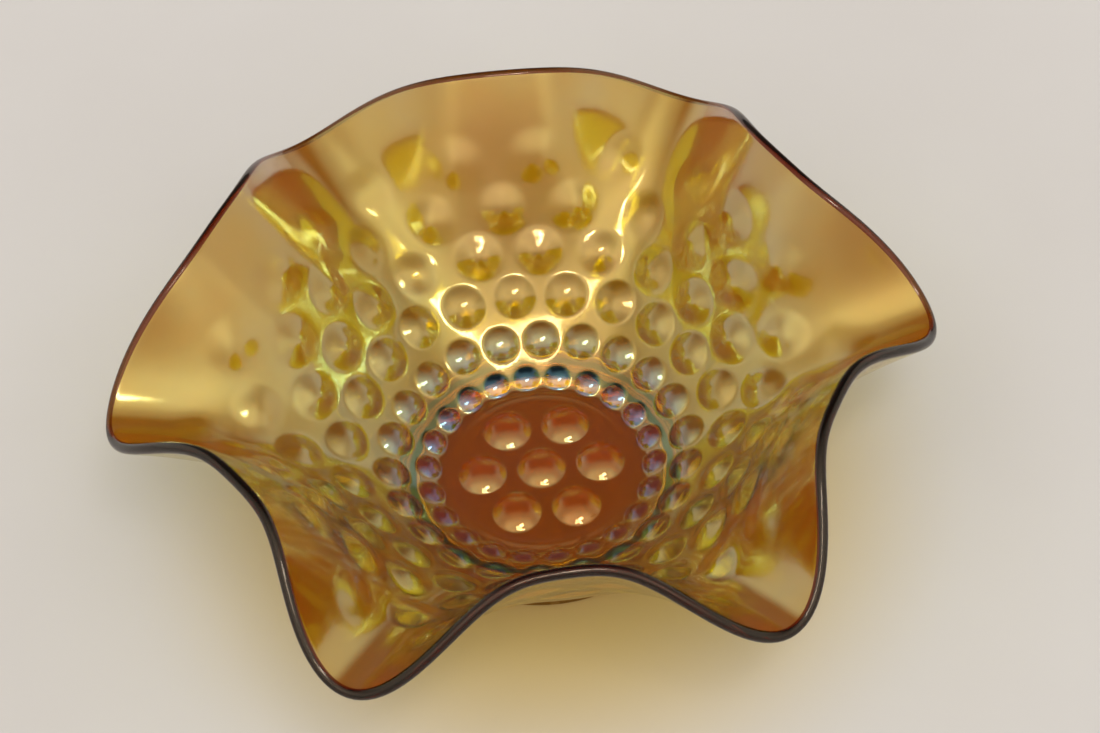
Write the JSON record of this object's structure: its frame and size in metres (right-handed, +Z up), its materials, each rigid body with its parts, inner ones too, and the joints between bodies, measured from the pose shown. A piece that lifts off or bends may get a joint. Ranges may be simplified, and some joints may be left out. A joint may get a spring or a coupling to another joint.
{
  "type": "ruffled glass bowl",
  "caption": "Shallow amber iridescent pressed-glass bowl on a low ring foot, with a ruffled rim and rings of raised round dots inside.",
  "frame": {"origin": "centre of the foot ring's resting face, on the surface that the bowl stands on", "axes": "+Z up through the open mouth; +X towards the lobe next to the steeper side of the rim; +Y completes the right-handed frame"},
  "size_m": [0.2194, 0.1985, 0.0775],
  "materials": {
    "base_glass": "clear amber pressed glass, gloss",
    "wall_glass": "amber pressed glass with a gold iridescent lustre, gloss",
    "rim_glass": "fire-polished amber glass, gloss",
    "dot_glass": "amber pressed glass with a gold iridescent lustre, gloss"
  },
  "bodies": {
    "root": {"foot_ring": "base_glass", "well_floor": "base_glass", "lower_wall": "wall_glass", "ruffle_1": "wall_glass", "ruffle_2": "wall_glass", "ruffle_3": "wall_glass", "ruffle_4": "wall_glass", "ruffle_5": "wall_glass", "ruffle_6": "wall_glass", "rim_bead": "rim_glass", "floor_dots": "dot_glass", "dot_ring_1": "dot_glass", "dot_ring_2": "dot_glass", "dot_ring_3": "dot_glass", "dot_ring_4": "dot_glass", "dot_ring_5": "dot_glass", "dot_ring_6": "dot_glass"}
  },
  "joints": []
}
